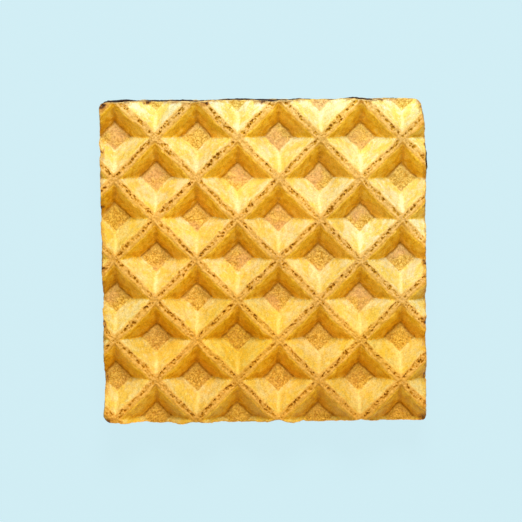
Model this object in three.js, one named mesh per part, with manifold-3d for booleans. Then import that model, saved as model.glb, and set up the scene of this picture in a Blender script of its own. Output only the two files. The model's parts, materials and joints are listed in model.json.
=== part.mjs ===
// A square filled wafer biscuit, lying flat: two baked wafer sheets with a diagonal lattice of
// deep square pockets, and a dark cocoa filling between them that also fills their hollow ridges.
// Millimetres, +Z up. The origin is at the middle of the biscuit, on the surface it lies on.
import * as THREE from "three";
import { mergeVertices } from "three/addons/utils/BufferGeometryUtils.js";
import Module from "manifold-3d";

const wasm = await Module();
wasm.setup();

// Driving dimensions.
const SIDE = 55; // the biscuit's sawn sides
const PITCH = 9.78; // from one ridge to the next, along the lattice
const RIDGE_WIDTH = 1.55; // a ridge's flat crest
const FLOOR_WIDTH = 3.5; // a pocket's square floor
const POCKET_DEPTH = 4.2;
const SHEET_THICKNESS = 1.2; // a wafer sheet follows its own relief as a thin shell
const FILLING_CORE = 1.4; // filling between the inner faces of the two sheets
const RIB_HEIGHT = 3.8; // how far the filling rises into the hollow of a ridge
const SLOPE_GAP = 0.2; // between filling and sheet on the sloping faces; the flat ones touch

// Where the top and bottom lattices lie against the sawn square, and how they are turned.
const TOP_LATTICE = { x: 2.45, y: 0.4, turn: -0.6 };
const BOTTOM_LATTICE = { x: -1.9, y: 1.4, turn: 0.5 };

// The whole biscuit shrank a little more from front to back than across.
const DEPTH_SHARE = 0.99;

// The saw ran a little on the slant along the front side, which leans forwards going down. The
// back side stands straight.
const FRONT_SLANT = 3.5;

// Corner cuts, anticlockwise from the front left: along the side before it, then the side after.
const CORNER_CUTS = [
  [2.3, 1.4],
  [0.6, 0.7],
  [3.6, 1.2],
  [0.9, 0.8],
];
const EDGE_STEPS = 32; // points along each side
const EDGE_WAVES = [
  { height: 0.12, turns: 1.5 },
  { height: 0.07, turns: 5 },
  { height: 0.04, turns: 11 },
];
const FRONT_SWELL = 0.5; // the front side swells out between the ridges that end there

// Where the filling has squeezed out past the sheets: a side, the share along it, how long and
// how far.
const SQUEEZED_OUT = [
  { side: 2, share: 0.915, length: 0.09, height: 0.3 },
  { side: 2, share: 0.2, length: 0.07, height: 0.3 },
  { side: 1, share: 0.83, length: 0.06, height: 0.5 },
];
const FILLING_SET_BACK = 0.05; // elsewhere the filling ends a little behind the sheets' sides

// Sizes that follow.
const CROSSING_SPACING = PITCH * Math.SQRT2; // between ridge crossings, along a sawn side
const OPENING_WIDTH = PITCH - RIDGE_WIDTH;
const WALL_RUN = (OPENING_WIDTH - FLOOR_WIDTH) / 2; // a wall's width seen from above
const WALL_ANGLE = Math.atan2(POCKET_DEPTH, WALL_RUN);
const SHEET_HEIGHT = POCKET_DEPTH + SHEET_THICKNESS;
const BOTTOM_INSIDE = SHEET_HEIGHT; // level of the bottom sheet's inner face
const TOP_INSIDE = BOTTOM_INSIDE + FILLING_CORE; // level of the top sheet's inner face
const OVERALL_HEIGHT = TOP_INSIDE + SHEET_HEIGHT;
const CUTTER_OVERRUN = 1; // how far a cutter reaches past the face that it opens

const radians = THREE.MathUtils.degToRad;

// The sides, anticlockwise.
const FRONT = 0;

// A closed geometry as a solid that can be joined and cut.
function solidOf(geometry) {
  const bare = geometry.index ? geometry.toNonIndexed() : geometry.clone();
  bare.deleteAttribute("normal");
  bare.deleteAttribute("uv");
  const merged = mergeVertices(bare, 1e-4);
  return new wasm.Manifold(
    new wasm.Mesh({
      numProp: 3,
      vertProperties: merged.attributes.position.array,
      triVerts: new Uint32Array(merged.index.array),
    }),
  );
}

function geometryOf(solid) {
  const { vertProperties, triVerts } = solid.getMesh();
  const geometry = new THREE.BufferGeometry();
  geometry.setAttribute("position", new THREE.BufferAttribute(vertProperties, 3));
  geometry.setIndex(new THREE.BufferAttribute(triVerts, 1));
  geometry.computeVertexNormals();
  return geometry;
}

function union(solids) {
  return solids.reduce((whole, piece) => whole.add(piece));
}

// How far a sawn side wanders outwards from straight, at a share of its length. It fades out
// towards both corners.
function edgeWander(share, side) {
  const waves = EDGE_WAVES.map(({ height, turns }, i) =>
    height * Math.sin(2 * Math.PI * turns * share + 2.1 * side + 1.3 * i),
  );
  const fade = Math.sin(Math.PI * share) ** 0.5;
  return fade * waves.reduce((sum, wave) => sum + wave, 0);
}

// The front side's swelling at a place across the biscuit: rounded, with a notch at each ridge
// crossing of the lattice.
function frontSwell(lattice, x) {
  const fromCrossing = (x - lattice.x) / CROSSING_SPACING;
  return FRONT_SWELL * (Math.abs(Math.sin(Math.PI * fromCrossing)) ** 0.7 - 0.5);
}

// The sawn square's outline: four slightly wandering sides joined by uneven corner cuts.
// extra(share, side) pushes a side outwards.
function sawnOutline(lattice, extra = () => 0) {
  const half = SIDE / 2;
  const corners = [
    new THREE.Vector2(-half, -half),
    new THREE.Vector2(half, -half),
    new THREE.Vector2(half, half),
    new THREE.Vector2(-half, half),
  ];
  const points = [];
  corners.forEach((corner, side) => {
    const next = corners[(side + 1) % 4];
    const along = next.clone().sub(corner).normalize();
    const outwards = new THREE.Vector2(along.y, -along.x);
    const start = CORNER_CUTS[side][1];
    const end = SIDE - CORNER_CUTS[(side + 1) % 4][0];
    for (let step = 0; step <= EDGE_STEPS; step++) {
      const share = step / EDGE_STEPS;
      const point = corner.clone().addScaledVector(along, THREE.MathUtils.lerp(start, end, share));
      const swell = side === FRONT ? frontSwell(lattice, point.x) : 0;
      points.push(point.addScaledVector(outwards, edgeWander(share, side) + swell + extra(share, side)));
    }
  });
  return new THREE.Shape(points);
}

// The outline as a block between two levels, its front leaning as the saw did.
function sawnBlock(outline, low, high) {
  const geometry = new THREE.ExtrudeGeometry(outline, {
    depth: high - low,
    bevelEnabled: false,
    steps: 1,
  });
  geometry.translate(0, 0, low);
  const lean = Math.tan(radians(FRONT_SLANT));
  const places = geometry.getAttribute("position");
  for (let i = 0; i < places.count; i++) {
    const towardsFront = 0.5 - places.getY(i) / SIDE;
    const below = OVERALL_HEIGHT - places.getZ(i);
    places.setY(i, places.getY(i) - lean * below * towardsFront);
  }
  return solidOf(geometry);
}

// A square pocket with sloping walls, floor down, as a cutter. Its floor is at level 0, its
// corners point along X and Y, and its walls slope as the sheet's do.
function pocketCutter(floorWidth, depth) {
  const height = depth + CUTTER_OVERRUN;
  const widthAtTop = floorWidth + (2 * height) / Math.tan(WALL_ANGLE);
  const toCorner = Math.SQRT1_2; // half a diagonal, for each unit of width
  const cutter = new THREE.CylinderGeometry(widthAtTop * toCorner, floorWidth * toCorner, height, 4);
  cutter.rotateX(Math.PI / 2); // its axis is now +Z
  cutter.translate(0, 0, height / 2);
  return cutter;
}

// The middles of all pockets that reach the sawn square.
function pocketPlaces(lattice) {
  const places = [];
  const reach = Math.ceil((SIDE * Math.SQRT2) / 2 / PITCH) + 1;
  const limit = SIDE / 2 + PITCH;
  const origin = new THREE.Vector2();
  const along = new THREE.Vector2(PITCH, 0).rotateAround(origin, radians(45 + lattice.turn));
  const across = new THREE.Vector2(-along.y, along.x);
  for (let i = -reach; i <= reach; i++) {
    for (let j = -reach; j <= reach; j++) {
      const place = new THREE.Vector2(lattice.x, lattice.y)
        .addScaledVector(along, i + 0.5)
        .addScaledVector(across, j + 0.5);
      if (Math.abs(place.x) < limit && Math.abs(place.y) < limit) places.push(place);
    }
  }
  return places;
}

// One cutter for each pocket of a sheet. The pocket's floor is at a level, and the pocket opens
// upwards, or downwards for the bottom sheet.
function pocketField(lattice, floorWidth, depth, level, opensUp) {
  const cutters = pocketPlaces(lattice).map((place) => {
    const cutter = pocketCutter(floorWidth, depth);
    if (!opensUp) cutter.rotateX(Math.PI);
    cutter.rotateZ(radians(lattice.turn));
    cutter.translate(place.x, place.y, level);
    return solidOf(cutter);
  });
  return union(cutters);
}

// The width, at a sheet's inner face, of the solid that stands round a pocket at a distance
// from its walls.
function widthInside(distance) {
  return (
    FLOOR_WIDTH -
    (2 * SHEET_THICKNESS) / Math.tan(WALL_ANGLE) +
    (2 * distance) / Math.sin(WALL_ANGLE)
  );
}

// The hollows of a sheet's ridges, cut back to a distance round every pocket.
function ribs(lattice, outline, insideLevel, opensUp, distance, height) {
  const tip = opensUp ? insideLevel + height : insideLevel - height;
  const block = sawnBlock(outline, Math.min(insideLevel, tip), Math.max(insideLevel, tip));
  return block.subtract(pocketField(lattice, widthInside(distance), height, insideLevel, opensUp));
}

function waferSheet(lattice, opensUp) {
  const inside = opensUp ? TOP_INSIDE : BOTTOM_INSIDE;
  const crest = opensUp ? OVERALL_HEIGHT : 0;
  const floor = opensUp ? inside + SHEET_THICKNESS : inside - SHEET_THICKNESS;
  const outline = sawnOutline(lattice);
  const wider = sawnOutline(lattice, () => PITCH / 2); // the hollows run out through the sides
  return sawnBlock(outline, Math.min(inside, crest), Math.max(inside, crest))
    .subtract(pocketField(lattice, FLOOR_WIDTH, POCKET_DEPTH, floor, opensUp))
    .subtract(ribs(lattice, wider, inside, opensUp, SHEET_THICKNESS, RIB_HEIGHT));
}

// How far the filling stands out from the sheets' sides.
function fillingEdge(share, side) {
  return SQUEEZED_OUT.filter((bead) => bead.side === side).reduce((reach, bead) => {
    const away = Math.min(1, Math.abs(share - bead.share) / bead.length);
    return reach + (bead.height + FILLING_SET_BACK) * Math.cos((away * Math.PI) / 2) ** 2;
  }, -FILLING_SET_BACK);
}

function cocoaFilling() {
  const outline = sawnOutline(TOP_LATTICE, fillingEdge);
  const distance = SHEET_THICKNESS + SLOPE_GAP;
  const height = RIB_HEIGHT - SLOPE_GAP;
  return union([
    sawnBlock(outline, BOTTOM_INSIDE, TOP_INSIDE),
    ribs(TOP_LATTICE, outline, TOP_INSIDE, true, distance, height),
    ribs(BOTTOM_LATTICE, outline, BOTTOM_INSIDE, false, distance, height),
  ]);
}

function piece(name, solid, material) {
  const mesh = new THREE.Mesh(geometryOf(solid.scale([1, DEPTH_SHARE, 1])), material);
  mesh.name = name;
  return mesh;
}

const wafer = new THREE.MeshStandardMaterial({ color: 0xf0c573, roughness: 0.75, metalness: 0 });
const cocoa = new THREE.MeshStandardMaterial({ color: 0x3a1e0e, roughness: 0.5, metalness: 0 });

const biscuit = new THREE.Group();
biscuit.add(
  piece("wafer_sheet_top", waferSheet(TOP_LATTICE, true), wafer),
  piece("cocoa_filling", cocoaFilling(), cocoa),
  piece("wafer_sheet_bottom", waferSheet(BOTTOM_LATTICE, false), wafer.clone()),
);

// The slant and the wandering sides leave the middle of the box a little off, so the group is
// moved to stand centred on the origin.
const middle = new THREE.Box3().setFromObject(biscuit).getCenter(new THREE.Vector3());
biscuit.position.set(-middle.x, -middle.y, 0);

export default biscuit;
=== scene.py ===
"""A square filled wafer biscuit: two baked wafer sheets with a diagonal lattice of pockets, and
a dark cocoa filling between them. Metres, +Z up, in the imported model's frame."""

import json
import math

import bmesh
import bpy
from mathutils import Matrix, Vector, kdtree, noise

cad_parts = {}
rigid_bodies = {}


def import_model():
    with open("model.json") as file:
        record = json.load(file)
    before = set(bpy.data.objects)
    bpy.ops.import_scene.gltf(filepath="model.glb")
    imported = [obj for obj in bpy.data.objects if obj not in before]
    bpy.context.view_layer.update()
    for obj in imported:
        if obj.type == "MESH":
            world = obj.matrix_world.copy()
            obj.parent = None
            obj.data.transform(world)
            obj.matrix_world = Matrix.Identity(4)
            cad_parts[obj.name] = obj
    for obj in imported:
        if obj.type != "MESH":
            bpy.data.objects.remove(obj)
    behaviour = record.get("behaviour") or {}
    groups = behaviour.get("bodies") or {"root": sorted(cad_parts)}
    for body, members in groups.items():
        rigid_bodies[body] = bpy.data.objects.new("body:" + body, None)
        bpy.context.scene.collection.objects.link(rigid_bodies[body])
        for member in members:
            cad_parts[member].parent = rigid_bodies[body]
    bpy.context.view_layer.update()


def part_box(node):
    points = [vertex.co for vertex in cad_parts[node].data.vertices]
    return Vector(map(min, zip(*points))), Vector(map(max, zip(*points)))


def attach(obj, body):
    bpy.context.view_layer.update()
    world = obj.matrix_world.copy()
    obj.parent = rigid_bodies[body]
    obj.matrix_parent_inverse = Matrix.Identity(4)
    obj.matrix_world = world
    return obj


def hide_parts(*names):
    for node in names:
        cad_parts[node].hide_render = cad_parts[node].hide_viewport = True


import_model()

# The baked lattice, as the wafer plates give it.
PITCH = 0.00978  # from one ridge to the next
RIDGE_WIDTH = 0.00155
FLOOR_WIDTH = 0.0035
POCKET_DEPTH = 0.0042
RIB_TIP_WIDTH = 0.0007  # the filling's width at the top of a hollow ridge
RIB_HEIGHT = 0.0038
PIT_LINE = 0.00013  # how far the line of pits on a ridge lies from the ridge's middle
CELLS = 10  # pockets each way in a baked field, before it is turned and sawn

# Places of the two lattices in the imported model's frame, and their turn against its sides.
TOP_LATTICE = {"x": 0.00236, "y": 0.00075, "turn": -0.6}
BOTTOM_LATTICE = {"x": -0.00199, "y": 0.00174, "turn": 0.5}
DIAGONAL = 45  # the ridges run cornerwise over the biscuit

top_low, top_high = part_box("wafer_sheet_top")

HEIGHT = top_high.z
TOP_INSIDE = top_low.z
BOTTOM_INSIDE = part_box("wafer_sheet_bottom")[1].z
SIDE = 0.055
DEPTH_SHARE = 0.99  # the biscuit shrank a little more from front to back than across

HALF_SIDE = SIDE / 2
HALF_PITCH = PITCH / 2
HALF_OPENING = (PITCH - RIDGE_WIDTH) / 2
HALF_FLOOR = FLOOR_WIDTH / 2
WALL_RUN = HALF_OPENING - HALF_FLOOR
WALL_FOOT = HALF_PITCH - HALF_FLOOR  # the wall's foot, from the ridge's middle line
TINY = 1e-6


# ---------------------------------------------------------------- tools of the bench


def only(obj):
    """Makes obj the one selected and active object."""
    if bpy.context.mode != "OBJECT":
        bpy.ops.object.mode_set(mode="OBJECT")
    bpy.ops.object.select_all(action="DESELECT")
    obj.select_set(True)
    bpy.context.view_layer.objects.active = obj


def new_plane(size):
    bpy.ops.object.select_all(action="DESELECT")
    bpy.ops.mesh.primitive_plane_add(size=size)
    return bpy.context.active_object


def open_mesh(obj, mode="VERT"):
    only(obj)
    bpy.ops.object.mode_set(mode="EDIT")
    bpy.ops.mesh.select_mode(type=mode)
    select_whole()


def close_mesh():
    bpy.ops.object.mode_set(mode="OBJECT")


def select_whole():
    bpy.ops.mesh.select_all(action="SELECT")


def move_up(distance):
    bpy.ops.transform.translate(value=(0, 0, distance))


def pick(obj, test):
    """Selects the vertices of the open mesh whose place passes the test."""
    mesh = bmesh.from_edit_mesh(obj.data)
    for vert in mesh.verts:
        vert.select = test(vert.co)
    mesh.select_flush_mode()
    bmesh.update_edit_mesh(obj.data)


def pick_long_edges(obj, longest):
    bpy.ops.mesh.select_all(action="DESELECT")
    mesh = bmesh.from_edit_mesh(obj.data)
    for edge in mesh.edges:
        if edge.calc_length() > longest:
            edge.select_set(True)
    bmesh.update_edit_mesh(obj.data)


def apply_all(obj):
    only(obj)
    for modifier in list(obj.modifiers):
        bpy.ops.object.modifier_apply(modifier=modifier.name)


def bisect(place, normal, clear_outer=False):
    select_whole()
    bpy.ops.mesh.bisect(plane_co=place, plane_no=normal, clear_outer=clear_outer, threshold=1e-7)


def score(lines):
    """Cuts the open mesh along X and Y at each distance from the middle, on both sides."""
    for line in lines:
        for side in (-1, 1) if line else (1,):
            bisect((side * line, 0, 0), (1, 0, 0))
            bisect((0, side * line, 0), (0, 1, 0))


def close_holes():
    """Fills the holes of the open mesh and points its faces outwards."""
    select_whole()
    bpy.ops.mesh.fill_holes(sides=0)
    select_whole()
    bpy.ops.mesh.normals_make_consistent(inside=False)
    close_mesh()


def displace(obj, texture, strength, group="", direction="NORMAL", middle=0.5):
    modifier = obj.modifiers.new(texture.name, "DISPLACE")
    modifier.texture = texture
    modifier.texture_coords = "LOCAL"
    modifier.strength = strength
    modifier.mid_level = middle
    modifier.direction = direction
    modifier.vertex_group = group


def boolean(obj, other, operation):
    only(obj)
    modifier = obj.modifiers.new(operation, "BOOLEAN")
    modifier.operation = operation
    modifier.object = other
    modifier.solver = "MANIFOLD"
    bpy.ops.object.modifier_apply(modifier=modifier.name)


def drop_crumbs(piece):
    """Drops the specks that the cuts left loose, and keeps what hangs together with its middle."""
    open_mesh(piece)
    bpy.ops.mesh.select_all(action="DESELECT")
    mesh = bmesh.from_edit_mesh(piece.data)
    innermost = min(mesh.verts, key=lambda vert: vert.co.xy.length)
    innermost.select_set(True)
    bmesh.update_edit_mesh(piece.data)
    bpy.ops.mesh.select_linked()
    bpy.ops.mesh.select_all(action="INVERT")
    bpy.ops.mesh.delete(type="VERT")
    close_mesh()


# ---------------------------------------------------------------- measures and shares


def steps(start, end, count):
    return [start + (end - start) * (i + 1) / count for i in range(count)]


def smooth_step(low, high, value):
    share = min(1, max(0, (value - low) / (high - low)))
    return share * share * (3 - 2 * share)


def hill(away):
    """1 in the middle, falling smoothly to 0 where away is 1."""
    return math.cos(away * math.pi / 2) ** 2


def reach(place):
    """A place's distance from a cell's middle, measured square."""
    return max(abs(place.x), abs(place.y))


def off_pitch(place):
    """How far X and Y are from the nearest whole number of pitches. In the lattice's own frame,
    that is from the middle lines of the nearest ridges."""
    return [(c + HALF_PITCH) % PITCH - HALF_PITCH for c in (place.x, place.y)]


# ---------------------------------------------------------------- textures for relief


def clouds(name, size, depth=2):
    texture = bpy.data.textures.new(name, "CLOUDS")
    texture.noise_scale = size
    texture.noise_depth = depth
    return texture


def pores(name, size, ramp):
    """Round cells. ramp holds (distance from a cell's middle, grey) pairs."""
    texture = bpy.data.textures.new(name, "VORONOI")
    texture.noise_scale = size
    texture.use_color_ramp = True
    elements = texture.color_ramp.elements
    for element, (position, grey) in zip(elements, (ramp[0], ramp[-1])):
        element.position = position
        element.color = (grey, grey, grey, 1)
    for position, grey in ramp[1:-1]:
        element = elements.new(position)
        element.color = (grey, grey, grey, 1)
    return texture


# ---------------------------------------------------------------- camera


def make_camera():
    """Looks down from just behind the biscuit's middle, turned a little with its lie."""
    distance, tilt, roll = 0.357, math.radians(6.1), math.radians(-0.55)
    target = Vector((-0.00061, 0.00062, HEIGHT))
    back = Vector((0, math.sin(tilt), math.cos(tilt)))
    up = (Vector((0, 1, 0)) - back * back.y).normalized()
    across = up.cross(back)
    right = across * math.cos(roll) + up * math.sin(roll)
    top = up * math.cos(roll) - across * math.sin(roll)
    data = bpy.data.cameras.new("camera")
    data.lens = 146.3
    data.sensor_width = 36
    camera = bpy.data.objects.new("camera", data)
    stand = Matrix.Translation(target + back * distance)
    camera.matrix_world = stand @ Matrix((right, top, back)).transposed().to_4x4()
    bpy.context.scene.collection.objects.link(camera)
    bpy.context.scene.camera = camera


# ---------------------------------------------------------------- baked lattice

RIM_ROUNDING = 0.0003
FOOT_ROUNDING = 0.00012
CREASE_REACH = 0.0006  # how far the rounding of a crease between two walls reaches
CORNER_REACH = 0.0016  # how far the drawing out of a pocket's corner reaches
DRAWN_LENGTHWISE = 0.055  # the share by which a back or front corner is drawn out
DRAWN_SIDEWAYS = 0.02

FLOOR_LINES = [0] + steps(0, HALF_FLOOR - FOOT_ROUNDING, 7)
WALL_LINES = [HALF_FLOOR, HALF_FLOOR + FOOT_ROUNDING] + steps(
    HALF_FLOOR + FOOT_ROUNDING, HALF_OPENING - RIM_ROUNDING, 8
)
CREST_LINES = steps(HALF_OPENING - RIM_ROUNDING, HALF_PITCH, 7)


def level_at(away):
    """A pocket's level at a distance from its middle, its edges rounded."""
    rounding = RIM_ROUNDING if away > (HALF_FLOOR + HALF_OPENING) / 2 else FOOT_ROUNDING
    samples = 9
    total = 0
    for i in range(samples):
        place = abs(away + rounding * (2 * i / (samples - 1) - 1))
        total += min(1, max(0, (HALF_OPENING - place) / WALL_RUN))
    return -POCKET_DEPTH * total / samples


def is_crease(place):
    """Whether a place lies where two walls of a pocket meet."""
    on_wall = HALF_FLOOR * 0.7 < reach(place) < HALF_OPENING - CREASE_REACH
    return on_wall and abs(abs(place.x) - abs(place.y)) < CREASE_REACH


def pocket_cell():
    """One cell of the lattice: a pocket with half a ridge's width round it, crest at level 0."""
    cell = new_plane(PITCH)
    open_mesh(cell)
    score(FLOOR_LINES + WALL_LINES + CREST_LINES[:-1])
    lines = sorted(FLOOR_LINES + WALL_LINES + CREST_LINES, reverse=True)
    for outer, line in zip(lines, lines[1:]):
        drop = level_at(line) - level_at(outer)
        if drop:
            pick(cell, lambda place: reach(place) < line + TINY)
            move_up(drop)
    pick(cell, is_crease)
    bpy.ops.mesh.vertices_smooth(factor=0.5, repeat=3)
    close_mesh()
    draw_out_corners(cell)
    return cell


def draw_out_corners(cell):
    """Draws the pocket's corners out, so that the ridges narrow where they cross: more at its
    back and front corners than at its left and right ones."""
    for vert in cell.data.vertices:
        place = vert.co
        at_corner = 1 - smooth_step(0, CORNER_REACH, abs(abs(place.x) - abs(place.y)))
        at_rim = smooth_step(HALF_FLOOR, HALF_OPENING, reach(place))
        at_rim *= 1 - smooth_step(HALF_OPENING, HALF_PITCH, reach(place))
        most = DRAWN_LENGTHWISE if place.x * place.y > 0 else DRAWN_SIDEWAYS
        place.xy *= 1 + most * at_corner * at_rim


def lattice_of(cell):
    """Repeats a cell both ways into a square field, middle on a ridge crossing."""
    for name, offset in (("rows", (PITCH, 0, 0)), ("columns", (0, PITCH, 0))):
        modifier = cell.modifiers.new(name, "ARRAY")
        modifier.count = CELLS
        modifier.use_relative_offset = False
        modifier.use_constant_offset = True
        modifier.constant_offset_displace = offset
        modifier.use_merge_vertices = True
        modifier.merge_threshold = TINY
    apply_all(cell)
    to_middle = -PITCH * (CELLS - 1) / 2
    open_mesh(cell)
    bpy.ops.transform.translate(value=(to_middle, to_middle, 0))
    close_mesh()
    return cell


# ---------------------------------------------------------------- wafer relief

# The line of pits: its half width where it is whole, what broken stretches add, and the sizes of
# the broken and the patchy stretches.
PIT_REACH = 0.00032
BROKEN_REACH = 0.00045
BROKEN_SIZE = 0.0031
PATCH_SIZE = 0.0014
PITTED_ANYWHERE = 0.4  # the share of pits that stays where the line is patchy
PITTED_AT_CROSSINGS = 0.45
PITTED_SIDEWAYS = 0.85  # the ridges that X counts are pitted a little less
PIT_DEPTH = 0.0004
FINE_PIT_DEPTH = 0.0002

# How far the floor's rough grain climbs the walls, least and more, and the size of its waves.
CLIMB = 0.0003
CLIMB_MORE = 0.0014
CLIMB_SIZE = 0.0043


def name_zones(field, seed):
    """Vertex groups for the zones of the bake: pits, crests, walls and floors."""
    drift = Vector((seed * 7.3, seed * 3.1, 0))
    zones = {name: field.vertex_groups.new(name=name) for name in ("pits", "crest", "floor", "wall")}
    for vert in field.data.vertices:
        place = vert.co
        ridges = off_pitch(place)
        signed = min(ridges, key=abs)
        away = abs(signed)
        crossing = max(abs(ridge) for ridge in ridges)
        crest = 1 - smooth_step(RIDGE_WIDTH * 0.45, RIDGE_WIDTH * 0.6, away)
        broken = smooth_step(0.25, 0.45, noise.noise(place / BROKEN_SIZE - drift))
        half_width = PIT_REACH + BROKEN_REACH * broken
        core = 1 - smooth_step(half_width * 0.5, half_width * 1.35, abs(signed - PIT_LINE))
        apart = smooth_step(RIDGE_WIDTH * 0.3, RIDGE_WIDTH * 0.7, crossing)
        patchy = smooth_step(-0.45, 0.2, noise.noise(place / PATCH_SIZE + drift))
        climbing = smooth_step(-0.05, 0.4, noise.noise(place / CLIMB_SIZE + 2 * drift))
        climb = CLIMB + CLIMB_MORE * climbing
        floor = smooth_step(WALL_FOOT - climb, WALL_FOOT + 0.0001, away)
        pitted = core * (PITTED_AT_CROSSINGS + (1 - PITTED_AT_CROSSINGS) * apart)
        pitted *= PITTED_ANYWHERE + (1 - PITTED_ANYWHERE) * patchy
        if abs(ridges[0]) < abs(ridges[1]):
            pitted *= PITTED_SIDEWAYS
        zones["pits"].add([vert.index], pitted, "REPLACE")
        zones["crest"].add([vert.index], crest, "REPLACE")
        zones["floor"].add([vert.index], floor, "REPLACE")
        zones["wall"].add([vert.index], (1 - crest) * (1 - floor), "REPLACE")


def uneven(field, seed):
    """Roughens a field as the batter baked: wavering ridges, pitted crests, grainy floors."""
    name_zones(field, seed)
    baked_at = field.data.attributes.new("lattice", "FLOAT_VECTOR", "POINT")
    for vert in field.data.vertices:
        baked_at.data[vert.index].vector = vert.co
    full, none = 1, 0
    pit = pores("pits", 0.0005, [(0, full), (0.25, full), (0.55, none), (1, none)])
    fine_pit = pores("fine_pits", 0.00029, [(0, full), (0.2, full), (0.5, none), (1, none)])
    displace(field, clouds("waver_across", size=0.0024), 0.0005, direction="X")
    displace(field, clouds("waver_along", size=0.0031), 0.0005, direction="Y")
    displace(field, clouds("tremor_across", size=0.0007), 0.00018, direction="X")
    displace(field, clouds("tremor_along", size=0.0009), 0.00018, direction="Y")
    displace(field, clouds("swell", size=0.007), 0.00022, middle=1)
    displace(field, clouds("wall_grain", size=0.0011, depth=3), 0.00010, group="wall")
    floor_bubble = pores("floor_bubble", 0.00062, [(0, none), (0.45, full), (1, full)])
    displace(field, clouds("floor_grain", size=0.00055, depth=3), 0.00030, group="floor")
    displace(field, floor_bubble, 0.00016, group="floor", middle=1)
    displace(field, clouds("crest_grain", size=0.0007, depth=3), 0.00012, group="crest", middle=1)
    apply_all(field)
    unpitted = [vert.co.z for vert in field.data.vertices]
    displace(field, pit, -PIT_DEPTH, group="pits", middle=0)
    displace(field, fine_pit, -FINE_PIT_DEPTH, group="pits", middle=0)
    apply_all(field)
    depths = field.data.attributes.new("pit", "FLOAT", "POINT")
    for vert, before in zip(field.data.vertices, unpitted):
        depths.data[vert.index].value = min(1, (before - vert.co.z) / PIT_DEPTH)


# ---------------------------------------------------------------- placing a field


def rotate_mesh(degrees, axis="Z"):
    """Turns the open mesh anticlockwise about the origin."""
    bpy.ops.transform.rotate(
        value=-math.radians(degrees), orient_axis=axis, center_override=(0, 0, 0)
    )


def place_field(field, lattice, crest_level, faces_up, margin):
    """Turns a field into place and trims it to a little more than the sawn square."""
    open_mesh(field)
    rotate_mesh(DIAGONAL)
    if not faces_up:
        rotate_mesh(180, "X")
    rotate_mesh(lattice["turn"])
    bpy.ops.transform.resize(value=(1, DEPTH_SHARE, 1), center_override=(0, 0, 0))
    bpy.ops.transform.translate(value=(lattice["x"], lattice["y"], crest_level))
    half = HALF_SIDE + margin
    for place, normal in (
        ((half, 0, 0), (1, 0, 0)),
        ((-half, 0, 0), (-1, 0, 0)),
        ((0, half, 0), (0, 1, 0)),
        ((0, -half, 0), (0, -1, 0)),
    ):
        bisect(place, normal, clear_outer=True)
    close_mesh()


def close_block(field, level):
    """Draws the field's border to a level and closes it there, so that it is a solid block."""
    open_mesh(field, "EDGE")
    bpy.ops.mesh.select_all(action="DESELECT")
    bpy.ops.mesh.select_non_manifold(extend=False)
    bpy.ops.mesh.extrude_edges_move()
    mesh = bmesh.from_edit_mesh(field.data)
    for vert in mesh.verts:
        if vert.select:
            vert.co.z = level
    bmesh.update_edit_mesh(field.data)
    close_holes()


def lattice_place(place, lattice, faces_up):
    """Where a point of the placed biscuit lies in its lattice's own frame."""
    x = place.x - lattice["x"]
    y = (place.y - lattice["y"]) / DEPTH_SHARE
    turned = Matrix.Rotation(-math.radians(lattice["turn"]), 3, "Z") @ Vector((x, y, 0))
    if not faces_up:
        turned.y = -turned.y
    return Matrix.Rotation(-math.radians(DIAGONAL), 3, "Z") @ turned


def name_sawn_places(piece, lattice, faces_up):
    """Gives the sawn sides their places in the lattice, as the baked faces have them."""
    baked_at = piece.data.attributes["lattice"].data
    sawn = piece.data.attributes["sawn"].data
    for vert in piece.data.vertices:
        if sawn[vert.index].value > 0:
            baked_at[vert.index].vector = lattice_place(vert.co, lattice, faces_up)


# Smears of cocoa on the baked face. A pair says where a smear is full and where it ends.
CORNER_DEPTH = (0.0003, 0.0014)  # from the sawn edge, at the corners
SMEAR_BORDER = 0.0015  # no smear lies further in from the square's sides than this
EDGE_SMEAR = (0.0004, 0.0008)  # from the sawn edge, elsewhere
SMEAR_SPOT = (0.0004, 0.0009)  # from the middle of a darker spot; these lie a pitch apart
CORNER_SMEAR = (0.0006, 0.0022)  # from the square's other side
CLEAN_FRONT = (0.0008, 0.0016)  # from the front side, where there is none
SMEARED_BETWEEN = 0.35  # how strong the smears are between the darker spots
SMEAR_PATCH = 0.0013


def name_smears(piece):
    """Marks where cocoa is smeared over the baked face: faintly along all sides but the front,
    darker in spots there, and darkest at the corners."""
    piece.data.attributes.new("smear", "FLOAT", "POINT")
    # Only now, because a new attribute can move the others.
    vertices = piece.data.vertices
    smears = piece.data.attributes["smear"].data
    sawn = piece.data.attributes["sawn"].data
    cut = [vert for vert in vertices if sawn[vert.index].value > 0.5]
    edge = kdtree.KDTree(len(cut))
    for vert in cut:
        edge.insert(vert.co, vert.index)
    edge.balance()
    for vert in vertices:
        place = vert.co
        if reach(place) < HALF_SIDE - SMEAR_BORDER:
            continue
        away = edge.find(place)[2]
        if away > CORNER_DEPTH[1]:
            continue
        nearer_middle = min(abs(place.x), abs(place.y))
        full, end = CORNER_SMEAR
        cornerwise = smooth_step(HALF_SIDE - end, HALF_SIDE - full, nearer_middle)
        in_spot = 1 - smooth_step(*SMEAR_SPOT, min(abs(gap) for gap in off_pitch(place)))
        full, end = CLEAN_FRONT
        front = 1 - smooth_step(-HALF_SIDE + full, -HALF_SIDE + end, place.y)
        patchy = smooth_step(-0.3, 0.2, noise.noise(place / SMEAR_PATCH))
        toasted = cornerwise * (1 - smooth_step(*CORNER_DEPTH, away))
        at_edge = 1 - smooth_step(*EDGE_SMEAR, away)
        smeared = (1 - front) * patchy * at_edge * max(in_spot, SMEARED_BETWEEN)
        smears[vert.index].value = max(toasted, smeared)


# ---------------------------------------------------------------- saw block

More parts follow.
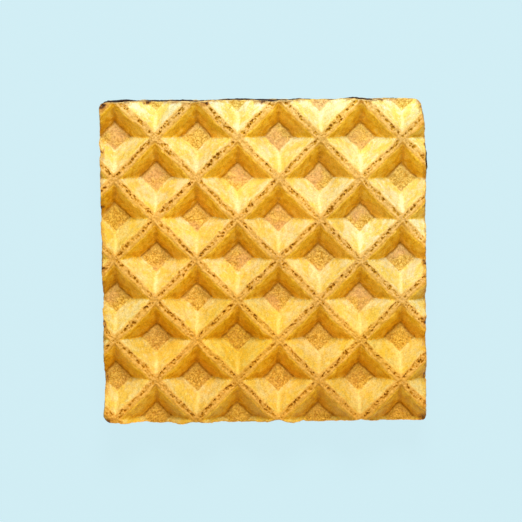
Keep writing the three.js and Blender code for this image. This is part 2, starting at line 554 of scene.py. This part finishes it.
SAW_MIDDLE = Vector((-0.00009, 0.00035, 0))  # where the sawn square's middle lies at the top
OVERRUN = 0.001  # how far the saw runs past the crests
LAYERS = 52  # rows of faces up the sawn sides

# The edges' division: each one longer than the first number gets so many new points.
DIVISIONS = ((0.03, 1), (0.01, 95), (0.002, 9), (0.0005, 3))

# How far each corner is worn off along the side before it and the side after it.
CORNERS = ((-1, -1), (1, -1), (1, 1), (-1, 1))
CORNER_CUTS = ((0.0006, 0.0010), (0.0002, 0.0002), (0.0046, 0.0010), (0.0006, 0.0006))

FRONT_LEAN = math.tan(math.radians(3.5))  # the saw ran a little on the slant along the front
FRONT_FULL = 0.0002  # how much further out the front stands at the top
FRONT_WAVE = 0.0005  # how much it swells between the ridges that end there
LIP_LEVEL = HEIGHT - 0.0047  # a rounded lip along the front, below the pockets' floors
LIP_HEIGHT = 0.0011
LIP_SWELL = 0.0002
EDGE_WEAR = 0.0002
WEAR_HEIGHT = 0.003

# Where the cut edge bulges: middle, length and how far outwards at the top.
BULGES = (
    ((-0.0147, -0.0270), 0.0026, (0, -0.00035)),
    ((-0.0103, -0.0270), 0.0026, (0, -0.00036)),
    ((0.0002, -0.0270), 0.0014, (0, -0.00016)),
    ((0.0043, -0.0270), 0.0022, (0, -0.0004)),
    ((-0.0247, -0.0270), 0.0020, (0, -0.00022)),
    ((-0.0275, 0.0213), 0.0026, (-0.0005, 0)),
    ((-0.0275, 0.0073), 0.0042, (-0.00028, 0)),
    ((-0.0275, -0.0255), 0.0034, (-0.00013, 0)),
    ((0.0086, 0.0275), 0.0050, (0, 0.00018)),
    ((0.0148, 0.0275), 0.0034, (0, 0.00024)),
    ((-0.0089, 0.0275), 0.0030, (0, 0.00015)),
)

# Where the filling is squeezed out: middle, length and how far outwards.
CREAM_BEADS = (
    ((-0.0232, 0.0276), 0.004, (0, 0.00028)),
    ((-0.0135, 0.0276), 0.003, (0, 0.00016)),
    ((-0.0035, 0.0276), 0.006, (0, 0.00016)),
    ((0.0060, 0.0276), 0.003, (0, 0.00014)),
    ((0.0155, 0.0276), 0.0035, (0, 0.0002)),
    ((0.0275, 0.0163), 0.0060, (0.00025, 0)),
    ((0.0275, 0.0064), 0.0045, (0.00016, 0)),
)
CREAM_INSET = 0.00007  # how far the filling stands back behind the sawn wafer elsewhere


def wear_corners(half):
    """Cuts the corners off the open square."""
    corners = [Vector(corner) for corner in CORNERS]
    for i, corner in enumerate(corners):
        before = (corners[i - 1] - corner).normalized() * CORNER_CUTS[i][0]
        after = (corners[(i + 1) % 4] - corner).normalized() * CORNER_CUTS[i][1]
        start = corner * half + before
        end = corner * half + after
        along = (end - start).normalized()
        bisect((*start, 0), (along.y, -along.x, 0), clear_outer=True)


def saw_block(name, outwards, beads=()):
    """The space inside the saw's cuts, with the roughness that they leave."""
    low, high = -OVERRUN, HEIGHT + OVERRUN
    block = new_plane(SIDE + 2 * outwards)
    block.name = name
    open_mesh(block)
    wear_corners(HALF_SIDE + outwards)
    select_whole()
    bpy.ops.mesh.delete(type="ONLY_FACE")
    select_whole()
    bpy.ops.mesh.select_mode(type="EDGE")
    for longest, cuts in DIVISIONS:
        pick_long_edges(block, longest)
        bpy.ops.mesh.subdivide(number_cuts=cuts)
    select_whole()
    bpy.ops.mesh.vertices_smooth(factor=0.5, repeat=9)
    move_up(low)
    rise = {"value": (0, 0, (high - low) / LAYERS)}
    for _ in range(LAYERS):
        bpy.ops.mesh.extrude_edges_move(TRANSFORM_OT_translate=rise)
    close_holes()
    shape_sides(block)
    for bulge in BULGES:
        swell(block, bulge, True)
    for bead in beads:
        swell(block, bead)
    roughen(block)
    sawn = block.data.attributes.new("sawn", "FLOAT", "POINT")
    for value in sawn.data:
        value.value = 1
    return block


def roughen(block):
    """Gives the saw's faces their drift, waves, crumb and small open bubbles."""
    drift = clouds(block.name + "_drift", size=0.009, depth=1)
    wave = clouds(block.name + "_wave", size=0.0042, depth=1)
    crumb = clouds(block.name + "_crumb", size=0.0013, depth=3)
    bubble = pores(block.name + "_bubble", 0.0007, [(0, 0), (0.5, 1), (1, 1)])
    displace(block, drift, 0.0003, middle=0.6)
    displace(block, wave, 0.0003, middle=0.6)
    displace(block, crumb, 0.00035, middle=0.6)
    displace(block, bubble, 0.00015, middle=1)
    apply_all(block)


def shape_sides(block):
    """Leans the front side as the saw did, swells it between the ridges that end there, with a
    lip along the pockets' floors, and wears the top and bottom edges of all sides."""
    spacing = PITCH * math.sqrt(2)
    on_side = SIDE * 0.45
    for vert in block.data.vertices:
        place = vert.co
        if place.y < -SIDE / 4:
            from_crossing = (place.x + SAW_MIDDLE.x - TOP_LATTICE["x"]) / spacing
            between = abs(math.sin(math.pi * from_crossing)) ** 0.7
            place.y -= FRONT_WAVE * (between - 0.5)
            from_lip = min(1, abs(place.z - LIP_LEVEL) / LIP_HEIGHT)
            place.y -= LIP_SWELL * between * hill(from_lip)
            place.y -= FRONT_FULL * place.z / HEIGHT
        place.y -= FRONT_LEAN * (HEIGHT - place.z) * (0.5 - place.y / SIDE)
        from_edge = max(0, min(place.z, HEIGHT - place.z))
        worn = EDGE_WEAR * max(0, 1 - from_edge / WEAR_HEIGHT) ** 2
        place.x -= math.copysign(worn, place.x) * (abs(place.x) > on_side)
        place.y -= math.copysign(worn, place.y) * (abs(place.y) > on_side)
        place.y *= DEPTH_SHARE
        place += SAW_MIDDLE


def swell(block, bulge, fades=False):
    """Swells the side about a place, all the way down, or fading from the top downwards."""
    middle, length, outwards = bulge
    middle = Vector(middle)
    for vert in block.data.vertices:
        away = (vert.co.xy - middle).length / length
        if away < 1:
            share = hill(away)
            if fades:
                share *= min(1, max(0, vert.co.z / HEIGHT))
            vert.co.xy += Vector(outwards) * share


# ---------------------------------------------------------------- pieces

BEYOND = 0.002  # how far a block for cutting reaches past what it cuts
HOLLOW_MARGIN = 0.003


def hollow_block(lattice, inside_level, far_level, faces_up):
    """What lies behind a sheet: its inner face, with a rib for each ridge, closed far behind."""
    cell = new_plane(PITCH)
    open_mesh(cell)
    half_tip = HALF_PITCH - RIB_TIP_WIDTH / 2
    foot = half_tip - RIB_HEIGHT * WALL_RUN / POCKET_DEPTH
    lines = steps(foot, half_tip, 4)
    score([0, foot * 0.5, foot] + lines)
    inwards = lines[-2::-1] + [foot]
    for line in inwards:
        pick(cell, lambda place: reach(place) < line + TINY)
        move_up(-RIB_HEIGHT / len(inwards))
    close_mesh()
    field = lattice_of(cell)
    displace(field, clouds("inner_wave", size=0.0024), 0.00035)
    apply_all(field)
    level = inside_level + RIB_HEIGHT if faces_up else inside_level - RIB_HEIGHT
    place_field(field, lattice, level, faces_up, HOLLOW_MARGIN)
    close_block(field, far_level)
    return field


def wafer_sheet(name, node, lattice, faces_up, seed, saw, hollow):
    field = lattice_of(pocket_cell())
    uneven(field, seed)
    crest_level = HEIGHT if faces_up else 0
    behind = TOP_INSIDE - BEYOND if faces_up else BOTTOM_INSIDE + BEYOND
    place_field(field, lattice, crest_level, faces_up, BEYOND)
    close_block(field, behind)
    boolean(field, saw, "INTERSECT")
    name_sawn_places(field, lattice, faces_up)
    boolean(field, hollow, "DIFFERENCE")
    drop_crumbs(field)
    name_smears(field)
    field.name = name
    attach(field, "root")
    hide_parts(node)
    return field


def cocoa_filling(saw, under_top, over_bottom):
    boolean(saw, under_top, "INTERSECT")
    boolean(saw, over_bottom, "INTERSECT")
    saw.name = "cocoa_cream"
    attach(saw, "root")
    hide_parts("cocoa_filling")
    return saw


# ---------------------------------------------------------------- laying out looks


def tone(red, green, blue):
    return (red, green, blue, 1)


class Nodes:
    """Lays out the nodes of one tree."""

    def __init__(self, tree):
        self.tree = tree

    def add(self, kind, inputs=None, **settings):
        node = self.tree.nodes.new(kind)
        for name, value in settings.items():
            setattr(node, name, value)
        for name, value in (inputs or {}).items():
            self.set(node.inputs[name], value)
        return node

    def set(self, socket, value):
        if isinstance(value, bpy.types.NodeSocket):
            self.tree.links.new(value, socket)
        else:
            socket.default_value = value

    def math(self, operation, *values):
        node = self.add("ShaderNodeMath", operation=operation)
        for socket, value in zip(node.inputs, values):
            self.set(socket, value)
        return node.outputs[0]

    def times(self, first, second):
        return self.math("MULTIPLY", first, second)

    def plus(self, first, second):
        return self.math("ADD", first, second)

    def minus(self, first, second):
        return self.math("SUBTRACT", first, second)

    def size_of(self, value):
        return self.math("ABSOLUTE", value)

    def between(self, value, low, high, start=0, end=1):
        """Runs smoothly from start to end while the value runs from low to high."""
        node = self.add(
            "ShaderNodeMapRange",
            {"Value": value, "From Min": low, "From Max": high, "To Min": start, "To Max": end},
            interpolation_type="SMOOTHSTEP",
        )
        return node.outputs["Result"]

    def mix(self, share, first, second, blend="MIX"):
        node = self.add("ShaderNodeMix", data_type="RGBA", blend_type=blend)
        self.set(node.inputs[0], share)
        self.set(node.inputs[6], first)
        self.set(node.inputs[7], second)
        return node.outputs[2]

    def tint(self, share, color, change):
        """Multiplies a colour by a tint, as far as the share says."""
        return self.mix(share, color, self.mix(1.0, color, tone(*change), "MULTIPLY"))

    def join(self, x, y):
        return self.add("ShaderNodeCombineXYZ", {"X": x, "Y": y}).outputs[0]

    def split(self, vector):
        return self.add("ShaderNodeSeparateXYZ", {"Vector": vector}).outputs

    def noise(self, place, size, detail=2, distortion=0, roughness=0.5):
        node = self.add("ShaderNodeTexNoise", {"Vector": place, "Scale": 1 / size, "Detail": detail})
        self.set(node.inputs["Distortion"], distortion)
        self.set(node.inputs["Roughness"], roughness)
        return node.outputs["Fac"]

    def cells(self, place, size):
        node = self.add("ShaderNodeTexVoronoi", {"Vector": place, "Scale": 1 / size})
        return node.outputs["Distance"]


def new_group(name, inputs, outputs):
    """inputs and outputs hold (name, socket type) pairs."""
    tree = bpy.data.node_groups.new(name, "ShaderNodeTree")
    for label, kind in inputs:
        tree.interface.new_socket(label, in_out="INPUT", socket_type=kind)
    for label, kind in outputs:
        tree.interface.new_socket(label, in_out="OUTPUT", socket_type=kind)
    nodes = Nodes(tree)
    return tree, nodes, nodes.add("NodeGroupInput").outputs, nodes.add("NodeGroupOutput").inputs


# ---------------------------------------------------------------- the bake of a sheet, with painted light and shade

# Tones of the walls that face the back, painted pale as lit, of those that face the front, painted
# deeper gold as in shade, and of the floors.
LIT_CREAM = tone(0.74, 0.60, 0.27)
LIT_YELLOW = tone(0.74, 0.53, 0.10)
PALE_MOTTLE = tone(0.72, 0.64, 0.37)
DEEP_MOTTLE = tone(0.74, 0.47, 0.05)
CREASE_HIGHLIGHT = tone(0.82, 0.66, 0.42)
SHADED_GOLD_BELOW_RIM = tone(0.95, 0.63, 0.06)
SHADED_GOLD_AT_FOOT = tone(0.86, 0.48, 0.012)
PALE_STREAK = tone(0.98, 0.70, 0.20)
DARK_STREAK = tone(0.70, 0.34, 0.006)
ROSY_WALL = tone(0.96, 0.55, 0.11)
FOOT_AND_CREASE_SHADE_TONE = tone(0.48, 0.19, 0.008)
FLOOR_DARK = tone(0.49, 0.24, 0.013)
FLOOR_PALE = tone(0.79, 0.52, 0.105)
ROSY_FLOOR = tone(0.67, 0.37, 0.145)
PAINTED_LIGHT_AT_FOOT = tone(0.86, 0.58, 0.16)
FOOT_SHADE_LINE = tone(0.38, 0.16, 0.012)

# Tones of the crests and their pits, the pits with a painted highlight round their rims and browning
# with painted shade deeper in, of the sawn crumb and of the cocoa on it.
CREST_PALE = tone(0.74, 0.45, 0.125)
CREST_DARK = tone(0.62, 0.345, 0.056)
CREST_BROWNED = tone(0.42, 0.20, 0.025)
PIT_RIM_HIGHLIGHT = tone(0.80, 0.50, 0.16)
PIT_WALL_BROWN_AND_SHADE = tone(0.54, 0.275, 0.014)
PIT_BOTTOM_BROWN_AND_SHADE = tone(0.32, 0.125, 0.002)
CRUMB_PORE = tone(0.50, 0.27, 0.06)
CRUMB = tone(0.82, 0.55, 0.18)
COCOA_ON_CRUMB = tone(0.10, 0.04, 0.012)
COCOA_THIN = tone(0.42, 0.18, 0.02)
COCOA_THICK = tone(0.09, 0.03, 0.008)

# Where it is paler or deeper: middle, reach and tint.
TONE_PATCHES = (
    ((0.0215, 0.0010), 0.0150, (0.99, 1.08, 1.38)),
    ((-0.0240, -0.0090), 0.0095, (1.02, 1.10, 1.3)),
    ((-0.0240, 0.0065), 0.0080, (0.97, 0.95, 0.66)),
    ((-0.0045, -0.0125), 0.0105, (0.96, 0.94, 0.54)),
    ((0.0185, -0.0140), 0.0100, (0.97, 0.96, 0.66)),
    ((0.0140, 0.0230), 0.0060, (0.99, 0.98, 0.80)),
)

# The tints from front to back and along the sides.
DEEPER_TINT = (0.93, 0.86, 0.62)
PALER_TINT = (0.99, 1.12, 1.45)
FRONT_TINT = (0.92, 0.87, 0.60)
BACK_TINT = (1.03, 1.10, 1.30)
RIGHT_TINT = (1.04, 0.95, 0.72)


class Bake:
    """What the parts of the bake share: the places in the lattice and the noises."""

    def __init__(self, n, place, lattice):
        parts = n.split(lattice)
        # Signed places across the two families of ridges, 0 on a ridge's middle line.
        self.across_x = n.math("WRAP", parts["X"], -HALF_PITCH, HALF_PITCH)
        self.across_y = n.math("WRAP", parts["Y"], -HALF_PITCH, HALF_PITCH)
        self.away_x = n.size_of(self.across_x)
        self.away_y = n.size_of(self.across_y)
        self.away = n.math("MINIMUM", self.away_x, self.away_y)
        self.nearer_x = n.math("LESS_THAN", self.away_x, self.away_y)
        self.signed = self.by_family(n, self.across_x, self.across_y)
        self.along = self.by_family(n, parts["Y"], parts["X"])
        # Places from a pocket's middle: across the line from its back to its front, and towards
        # the front.
        centre_x = n.math("WRAP", n.minus(parts["X"], HALF_PITCH), -HALF_PITCH, HALF_PITCH)
        centre_y = n.math("WRAP", n.minus(parts["Y"], HALF_PITCH), -HALF_PITCH, HALF_PITCH)
        self.off_crease = n.size_of(n.minus(centre_x, centre_y))
        self.towards_front = n.times(n.plus(centre_x, centre_y), -0.5)
        self.spot = n.split(place)
        self.patches = n.noise(place, 0.0034, 3, 0.4)
        self.mottle = n.noise(place, 0.0008, 3, 0.3, 0.6)
        self.grain = n.noise(place, 0.00026, 2, 0.6)
        self.broad = n.noise(place, 0.008, 1)
        self.waves = n.noise(place, 0.00055, 2, 1.8, 0.6)
        self.floor = n.between(self.away, WALL_FOOT - 0.0001, WALL_FOOT + 0.0002)
        self.faces_front = n.math("LESS_THAN", self.signed, 0)

    def by_family(self, n, for_x, for_y):
        """The first value where a ridge that X counts is the nearest, else the second."""
        return n.math("MULTIPLY_ADD", n.minus(for_x, for_y), self.nearer_x, for_y)


def lit_back_wall_tone(n, at):
    """The walls that face the back, painted pale as lit: cream and yellow patches."""
    wall = n.mix(n.between(at.patches, 0.38, 0.60), LIT_CREAM, LIT_YELLOW)
    wall = n.mix(n.between(at.mottle, 0.5, 0.72, 0, 0.7), wall, PALE_MOTTLE)
    wall = n.mix(n.between(at.mottle, 0.5, 0.32, 0, 0.6), wall, DEEP_MOTTLE)
    # Painted highlight: a whitish line down the rounded crease where two of these walls meet at the
    # front of the pocket.
    at_crease = n.between(at.off_crease, 0.0001, 0.0006, 1, 0)
    in_front = n.between(at.towards_front, HALF_FLOOR, HALF_FLOOR + 0.0008)
    crease_highlight = n.times(n.times(at_crease, in_front), n.between(at.mottle, 0.35, 0.6, 0.5, 0.1))
    return n.mix(crease_highlight, wall, CREASE_HIGHLIGHT)


def shaded_front_wall_tone(n, at):
    """The walls that face the front, painted deeper gold as in shade: golden, with painted shade
    deepening along the foot and down the crease.
    """
    streaks = n.noise(n.join(n.times(at.signed, 2), at.along), 0.0011, 3, 0.5)
    # Painted shade: the gold deepens down the wall towards its foot.
    down = n.between(at.away, RIDGE_WIDTH * 0.6, WALL_FOOT)
    wall = n.mix(down, SHADED_GOLD_BELOW_RIM, SHADED_GOLD_AT_FOOT)
    wall = n.mix(n.between(streaks, 0.48, 0.66, 0, 0.6), wall, PALE_STREAK)
    wall = n.mix(n.between(streaks, 0.50, 0.35, 0, 0.7), wall, DARK_STREAK)
    rosy = n.times(n.between(at.patches, 0.42, 0.62, 0, 0.5), at.nearer_x)
    wall = n.mix(rosy, wall, ROSY_WALL)
    # Painted shade: darker along the foot of these walls and down the crease where two of them meet
    # at the back of the pocket.
    foot_line = n.between(at.away, WALL_FOOT - 0.0006, WALL_FOOT, 0, 0.6)
    at_crease = n.between(at.off_crease, 0.0001, 0.0007, 0.75, 0)
    behind = n.between(at.towards_front, -HALF_OPENING, -HALF_OPENING + 0.0008)
    foot_and_crease_shade = n.math("MAXIMUM", foot_line, n.times(at_crease, behind))
    foot_and_crease_shade = n.times(foot_and_crease_shade, n.between(at.mottle, 0.3, 0.6, 1, 0.5))
    return n.mix(foot_and_crease_shade, wall, FOOT_AND_CREASE_SHADE_TONE)


def floor_tone(n, at, place):
    """Floors: a rough, wavy grain, rosier in some pockets, with painted light along the foot of the
    walls that face the front, where their shadow falls."""
    floor = n.mix(n.between(at.waves, 0.36, 0.64), FLOOR_DARK, FLOOR_PALE)
    rosy = n.between(n.noise(place, 0.0045, 2), 0.42, 0.6, 0, 0.65)
    rosier_behind = n.between(at.spot["Y"], -0.014, -0.007, 0.3, 1)
    floor = n.mix(n.times(rosy, rosier_behind), floor, ROSY_FLOOR)
    # Painted light: the floor is paler where the walls that face the front cast their shadow.
    light_at_foot = n.between(at.away, WALL_FOOT, WALL_FOOT + 0.0009, 0.45, 0)
    return n.mix(n.times(light_at_foot, at.faces_front), floor, PAINTED_LIGHT_AT_FOOT)


def crest_tone(n, at, place):
    """Crests: a golden rim along the front, a brown line of pits along the back, and browner
    crossings."""
    crest = n.mix(n.between(at.mottle, 0.4, 0.65), CREST_PALE, CREST_DARK)
    off_lines = [n.size_of(n.minus(across, PIT_LINE)) for across in (at.across_x, at.across_y)]
    pit_line = n.between(n.math("MINIMUM", *off_lines), 0.00015, 0.0005, 1, 0)
    crossing = n.between(n.math("MAXIMUM", at.away_x, at.away_y), 0.0005, 0.0017, 1, 0)
    speckle = n.between(n.noise(place, 0.0005, 2, 0.8, 0.6), 0.42, 0.6, 0.15, 1)
    browner = n.times(pit_line, n.math("MULTIPLY_ADD", crossing, 0.25, 0.5))
    browner = n.math("MAXIMUM", n.times(browner, speckle), n.times(crossing, 0.22))
    return n.mix(browner, crest, CREST_BROWNED)


def baked_and_painted_tone(n, at, place, pit):
    """The tones of walls, floors, crests and pits together, with their fine grain, and the painted
    light and shade on walls, creases, floors and pits.
    """
    # The walls that face the front take the painted shaded tone, and those that face the back take
    # the painted lit one.
    facing = n.between(at.signed, -0.0001, 0.0001)
    wall = n.mix(facing, shaded_front_wall_tone(n, at), lit_back_wall_tone(n, at))
    color = n.mix(at.floor, wall, floor_tone(n, at, place))
    # Painted shade: a thin brown line runs where the walls that face the front meet the floor.
    from_foot = n.size_of(n.minus(at.away, WALL_FOOT))
    foot_shade_line = n.times(n.between(from_foot, 0.00006, 0.00024, 0.75, 0), at.faces_front)
    foot_shade_line = n.times(foot_shade_line, n.between(at.mottle, 0.35, 0.58, 0.25, 1))
    color = n.mix(foot_shade_line, color, FOOT_SHADE_LINE)
    crest = n.between(at.away, RIDGE_WIDTH * 0.4, RIDGE_WIDTH * 0.62, 1, 0)
    color = n.mix(crest, color, crest_tone(n, at, place))
    # Painted highlight round the pits' rims; deeper in, the pits darken, partly browned and partly
    # painted shade.
    color = n.mix(n.between(pit, 0.0, 0.15, 0, 0.5), color, PIT_RIM_HIGHLIGHT)
    color = n.mix(n.between(pit, 0.12, 0.45), color, PIT_WALL_BROWN_AND_SHADE)
    color = n.mix(n.between(pit, 0.4, 0.9), color, PIT_BOTTOM_BROWN_AND_SHADE)
    grain_shade = n.between(at.grain, 0.32, 0.68, 0.84, 1.12)
    shade = n.times(grain_shade, n.between(at.broad, 0.3, 0.7, 0.93, 1.07))
    shades = n.add("ShaderNodeCombineColor", {"Red": shade, "Green": shade, "Blue": shade})
    return n.mix(1.0, color, shades.outputs[0], "MULTIPLY")


def tint_over_biscuit(n, at, color):
    """Makes it deeper along the front and paler towards the back, and in patches."""
    backwards = n.math("MULTIPLY_ADD", at.spot["X"], 0.3, at.spot["Y"])
    deeper = n.between(backwards, -0.022, 0.002, 1, 0)
    deeper = n.times(deeper, n.between(backwards, -0.03, -0.018, 0.6, 1))
    # The walls that face the front keep more of their gold.
    on_front_wall = n.between(at.signed, -0.0005, -0.0001, 1, 0)
    on_front_wall = n.times(on_front_wall, n.minus(1, at.floor))
    open_to_change = n.math("MULTIPLY_ADD", on_front_wall, -0.75, 1)
    paler = n.times(n.between(backwards, 0.002, 0.03), open_to_change)
    color = n.tint(deeper, color, DEEPER_TINT)
    color = n.tint(paler, color, PALER_TINT)
    color = n.tint(n.between(at.spot["Y"], -0.0277, -0.0215, 1, 0), color, FRONT_TINT)
    color = n.tint(n.between(at.spot["Y"], 0.0245, 0.0272), color, BACK_TINT)
    color = n.tint(n.between(at.spot["X"], 0.0258, 0.0276), color, RIGHT_TINT)
    flat = n.join(at.spot["X"], at.spot["Y"])
    for middle, size, change in TONE_PATCHES:
        distance = n.add("ShaderNodeVectorMath", operation="DISTANCE")
        n.set(distance.inputs[0], flat)
        n.set(distance.inputs[1], (*middle, 0))
        share = n.between(distance.outputs["Value"], size * 0.25, size, 1, 0)
        color = n.tint(n.times(share, open_to_change), color, change)
    return color


def crumb_tone(n, at, place):
    """Sawn sides: pale crumb with small dark pores, smeared with cocoa in places."""
    crumb = n.mix(n.between(n.cells(place, 0.00055), 0.1, 0.35), CRUMB_PORE, CRUMB)
    smear = n.between(n.noise(place, 0.0017, 4, 0.9, 0.6), 0.43, 0.62, 0, 0.8)
    not_front = n.between(at.spot["Y"], -0.027, -0.025)
    return n.mix(n.times(smear, not_front), crumb, COCOA_ON_CRUMB)


def wafer_bake_and_painted_light():
    """The bake of a wafer sheet by its lattice, with painted light and shade: walls, floors, pitted
    crests and sawn crumb.
    """
    tree, n, given, out = new_group(
        "wafer_bake_and_painted_light",
        [
            ("Place", "NodeSocketVector"),
            ("Lattice", "NodeSocketVector"),
            ("Pit", "NodeSocketFloat"),
            ("Sawn", "NodeSocketFloat"),
            ("Smear", "NodeSocketFloat"),
        ],
        [("Color", "NodeSocketColor"), ("Height", "NodeSocketFloat")],
    )
    place = given["Place"]
    at = Bake(n, place, given["Lattice"])
    color = tint_over_biscuit(n, at, baked_and_painted_tone(n, at, place, given["Pit"]))
    color = n.mix(given["Sawn"], color, crumb_tone(n, at, place))
    smudge = n.times(given["Smear"], n.between(at.mottle, 0.35, 0.58, 0.4, 1))
    color = n.mix(n.between(smudge, 0, 0.5, 0, 0.8), color, COCOA_THIN)
    color = n.mix(n.between(smudge, 0.4, 0.9), color, COCOA_THICK)
    n.set(out["Color"], color)
    rough_floor = n.times(n.times(at.waves, at.floor), 0.00025)
    fine = n.times(at.grain, 0.00005)
    soft = n.times(at.mottle, 0.00010)
    n.set(out["Height"], n.plus(n.plus(rough_floor, fine), soft))
    return tree


# ---------------------------------------------------------------- finished looks


def new_material(name):
    material = bpy.data.materials.new(name)
    material.use_nodes = True
    return material, Nodes(material.node_tree), material.node_tree.nodes["Principled BSDF"]


def bump(n, shader, height):
    """Roughens a shader's normal by a height in metres."""
    node = n.add("ShaderNodeBump", {"Height": height, "Distance": 1.0})
    n.set(shader.inputs["Normal"], node.outputs["Normal"])


def wafer_material(name, bake):
    material, n, shader = new_material(name)
    baked = n.add("ShaderNodeGroup", node_tree=bake)
    n.set(baked.inputs["Place"], n.add("ShaderNodeTexCoord").outputs["Object"])
    lattice = n.add("ShaderNodeAttribute", attribute_name="lattice").outputs["Vector"]
    n.set(baked.inputs["Lattice"], lattice)
    for given, attribute in (("Pit", "pit"), ("Sawn", "sawn"), ("Smear", "smear")):
        seen = n.add("ShaderNodeAttribute", attribute_name=attribute).outputs["Fac"]
        n.set(baked.inputs[given], seen)
    n.set(shader.inputs["Base Color"], baked.outputs["Color"])
    shader.inputs["Roughness"].default_value = 0.62
    shader.inputs["Specular IOR Level"].default_value = 0.3
    bump(n, shader, baked.outputs["Height"])
    return material


CREAM_DARK = tone(0.016, 0.006, 0.003)
CREAM_BROWN = tone(0.045, 0.016, 0.006)
CREAM_CRUMB = tone(0.09, 0.035, 0.012)


def cream_material():
    """Dark, fatty cocoa cream with streaks and a few crumbs in it."""
    material, n, shader = new_material("cocoa_cream")
    place = n.add("ShaderNodeTexCoord").outputs["Object"]
    streaks = n.noise(place, 0.0012, 4, 0.8)
    crumbs = n.noise(place, 0.0003, 2)
    color = n.mix(n.between(streaks, 0.35, 0.65), CREAM_DARK, CREAM_BROWN)
    color = n.mix(n.between(crumbs, 0.6, 0.75, 0, 0.6), color, CREAM_CRUMB)
    n.set(shader.inputs["Base Color"], color)
    n.set(shader.inputs["Roughness"], n.between(streaks, 0.3, 0.7, 0.55, 0.8))
    shader.inputs["Specular IOR Level"].default_value = 0.08
    bump(n, shader, n.plus(n.times(crumbs, 0.00006), n.times(streaks, 0.0001)))
    return material


def table_material():
    """A pale light table: it glows by itself, so that shadows on it stay faint."""
    material, _, shader = new_material("pale_table")
    shader.inputs["Base Color"].default_value = tone(0.02, 0.026, 0.028)
    shader.inputs["Roughness"].default_value = 0.9
    shader.inputs["Specular IOR Level"].default_value = 0
    shader.inputs["Emission Color"].default_value = tone(0.638, 0.855, 0.922)
    shader.inputs["Emission Strength"].default_value = 0.96
    return material


def dress(piece, material):
    piece.data.materials.clear()
    piece.data.materials.append(material)


# ---------------------------------------------------------------- lights and table


def add_lamp(name, size, energy, color, place):
    """A square lamp that faces the biscuit."""
    data = bpy.data.lights.new(name, "AREA")
    data.size = size
    data.energy = energy
    data.color = color
    lamp = bpy.data.objects.new(name, data)
    lamp.location = place
    lamp.rotation_euler = (-lamp.location).to_track_quat("-Z", "Y").to_euler()
    bpy.context.scene.collection.objects.link(lamp)


def make_lights():
    """A soft lamp from behind and above, a little to the right, and a faint warm fill."""
    world = bpy.data.worlds.new("studio")
    bpy.context.scene.world = world
    world.use_nodes = True
    background = world.node_tree.nodes["Background"]
    background.inputs["Color"].default_value = tone(1.0, 0.72, 0.06)
    background.inputs["Strength"].default_value = 0.46
    add_lamp("window", 0.16, 3.0, (1, 1, 1), (0.02, 0.321, 0.39))
    add_lamp("warm_card", 0.2, 0.34, (1.0, 0.72, 0.12), (0.1, -0.375, 0.115))


def make_table():
    bpy.ops.object.select_all(action="DESELECT")
    bpy.ops.mesh.primitive_plane_add(size=4, location=(0, 0, -0.0001))
    table = bpy.context.active_object
    table.name = "table_top"
    table.data.materials.append(table_material())


# ---------------------------------------------------------------- making

make_camera()
saw = saw_block("saw_cut", 0)
cream_saw = saw_block("cream_cut", -CREAM_INSET, CREAM_BEADS)
under_top = hollow_block(TOP_LATTICE, TOP_INSIDE, -BEYOND, True)
over_bottom = hollow_block(BOTTOM_LATTICE, BOTTOM_INSIDE, HEIGHT + BEYOND, False)
top = wafer_sheet("wafer_top", "wafer_sheet_top", TOP_LATTICE, True, 1, saw, under_top)
bottom = wafer_sheet("wafer_bottom", "wafer_sheet_bottom", BOTTOM_LATTICE, False, 2, saw, over_bottom)
cream = cocoa_filling(cream_saw, under_top, over_bottom)
for tool in (saw, under_top, over_bottom):
    bpy.data.objects.remove(tool)

bake = wafer_bake_and_painted_light()
dress(top, wafer_material("wafer_top", bake))
dress(bottom, wafer_material("wafer_bottom", bake))
dress(cream, cream_material())
make_lights()
make_table()
bpy.context.scene.view_settings.view_transform = "Standard"
